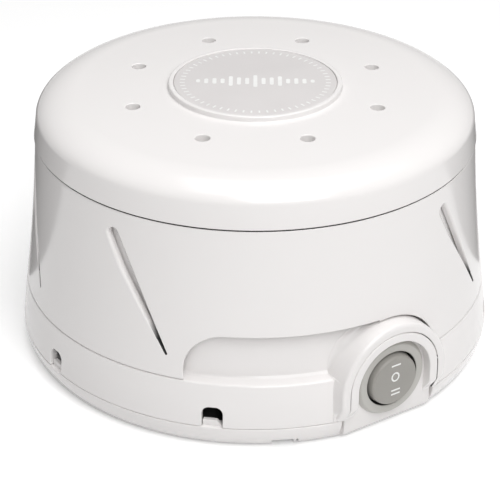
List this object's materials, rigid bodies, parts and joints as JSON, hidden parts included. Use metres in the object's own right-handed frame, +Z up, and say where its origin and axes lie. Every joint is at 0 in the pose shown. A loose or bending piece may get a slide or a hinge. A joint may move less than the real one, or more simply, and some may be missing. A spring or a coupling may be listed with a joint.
{
  "type": "white noise sound machine",
  "caption": "Round fan-driven sound machine with a slotted tone collar, a turning cap with air holes and a round rocker switch.",
  "frame": {"origin": "centre of the underside, on the plane that the feet stand on", "axes": "+Z up along the motor shaft, -Y towards the switch panel, +X to the right of the switch"},
  "size_m": [0.146, 0.1467, 0.0826],
  "materials": {
    "white_gloss": "smooth glossy moulded white plastic",
    "badge_grey": "fine satin grey",
    "foot_rubber": "soft matt grey rubber",
    "zinc_screw": "bright zinc plate",
    "zinc_plate": "stamped, zinc plated",
    "white_nylon": "moulded nylon",
    "bezel_grey": "satin light grey moulding",
    "rocker_grey": "satin mid grey moulding",
    "terminal_brass": "stamped brass",
    "lead_insulation": "black insulation",
    "lamination_steel": "varnished laminations",
    "copper_wire": "enamelled copper",
    "coil_tape": "polyester tape",
    "cast_aluminium": "turned casting",
    "ground_steel": "ground",
    "sintered_bronze": "oil-filled bronze",
    "fan_plastic": "moulded dark plastic"
  },
  "bodies": {
    "base": {"base_pan": "white_gloss", "inner_housing": "white_gloss", "rubber_feet": "foot_rubber", "housing_screws": "zinc_screw", "cord_bushing": "white_nylon", "switch_body": "bezel_grey", "switch_terminals": "terminal_brass", "crimp_connectors": "terminal_brass", "coil_leads": "lead_insulation", "motor_core": "lamination_steel", "core_bar": "lamination_steel", "coil_bobbin": "white_nylon", "coil_winding": "copper_wire", "coil_wrap": "coil_tape", "shading_rings": "copper_wire", "upper_bracket": "zinc_plate", "lower_bracket": "zinc_plate", "upper_bushing": "sintered_bronze", "lower_bushing": "sintered_bronze", "bracket_bolts": "zinc_screw", "bolt_nuts": "zinc_screw", "motor_grommets": "foot_rubber", "mount_washers": "zinc_screw", "mount_screws": "zinc_screw"},
    "collar": {"tone_collar": "white_gloss"},
    "cap": {"top_cap": "white_gloss", "badge_disc": "badge_grey"},
    "rocker": {"rocker": "rocker_grey"},
    "rotor": {"rotor": "cast_aluminium", "motor_shaft": "ground_steel", "thrust_washers": "white_nylon", "fan": "fan_plastic", "fan_clip": "ground_steel"}
  },
  "joints": [
    {"name": "collar_turn", "type": "hinge", "parent": "base", "child": "collar", "pos_m": [0, 0, 0.0445], "axis": [0, 0, 1], "range_deg": [0, 34]},
    {"name": "cap_turn", "type": "hinge", "parent": "base", "child": "cap", "pos_m": [0, 0, 0.0765], "axis": [0, 0, 1], "range_deg": [0, 22.5]},
    {"name": "rocker_tilt", "type": "hinge", "parent": "base", "child": "rocker", "pos_m": [0, -0.0689, 0.0163], "axis": [1, 0, 0], "range_deg": [-8, 8]},
    {"name": "rotor_spin", "type": "hinge", "parent": "base", "child": "rotor", "pos_m": [0, 0, 0.033], "axis": [0, 0, 1], "continuous": true}
  ]
}
